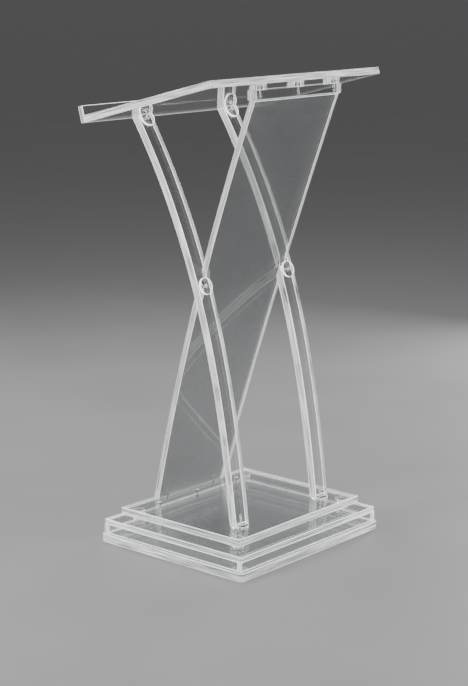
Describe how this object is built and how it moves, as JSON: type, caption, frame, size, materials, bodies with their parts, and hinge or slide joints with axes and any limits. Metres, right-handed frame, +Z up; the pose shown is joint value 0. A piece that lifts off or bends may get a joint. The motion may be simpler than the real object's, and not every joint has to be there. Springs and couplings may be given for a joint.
{
  "type": "presentation lectern",
  "caption": "Free-standing clear acrylic lectern: tiered base, two curved legs crossing a leaning frosted front panel, sloping desk with a book stop.",
  "frame": {"origin": "centre of the base's footprint on the floor", "axes": "+Z up, +X across the width, -Y towards the audience and +Y towards the reader"},
  "size_m": [0.6, 0.4534, 1.13],
  "materials": {
    "clear_acrylic": "polished clear cast acrylic with bright cut edges",
    "frosted_acrylic": "clear cast acrylic with a fine frosted face and polished edges",
    "bolt_steel": "bright stainless steel",
    "foot_pad": "translucent grey elastomer pad"
  },
  "bodies": {
    "root": {"book_stop_lip": "clear_acrylic", "bottom_plate": "clear_acrylic", "box_lid": "clear_acrylic", "box_wall_back": "clear_acrylic", "box_wall_front": "clear_acrylic", "box_wall_left": "clear_acrylic", "box_wall_right": "clear_acrylic", "deck_plate": "clear_acrylic", "desk_plate": "clear_acrylic", "foot_back_left": "foot_pad", "foot_back_right": "foot_pad", "foot_disc_left": "clear_acrylic", "foot_disc_right": "clear_acrylic", "foot_front_left": "foot_pad", "foot_front_right": "foot_pad", "front_panel": "frosted_acrylic", "head_bolt_left": "bolt_steel", "head_bolt_right": "bolt_steel", "head_boss_left": "clear_acrylic", "head_boss_right": "clear_acrylic", "head_rail": "clear_acrylic", "leg_foot_bolt_left": "bolt_steel", "leg_foot_bolt_right": "bolt_steel", "leg_left": "clear_acrylic", "leg_right": "clear_acrylic", "panel_screw_left": "bolt_steel", "panel_screw_right": "bolt_steel", "rail_bolt_left": "bolt_steel", "rail_bolt_middle": "bolt_steel", "rail_bolt_right": "bolt_steel", "rail_wedge_left": "clear_acrylic", "rail_wedge_middle": "clear_acrylic", "rail_wedge_right": "clear_acrylic", "rear_bolt_left": "bolt_steel", "rear_bolt_middle": "bolt_steel", "rear_bolt_right": "bolt_steel", "spacer_back_left": "clear_acrylic", "spacer_back_right": "clear_acrylic", "spacer_front_left": "clear_acrylic", "spacer_front_right": "clear_acrylic", "waist_bolt_left": "bolt_steel", "waist_bolt_right": "bolt_steel", "waist_cap_left": "clear_acrylic", "waist_cap_right": "clear_acrylic"}
  },
  "joints": []
}
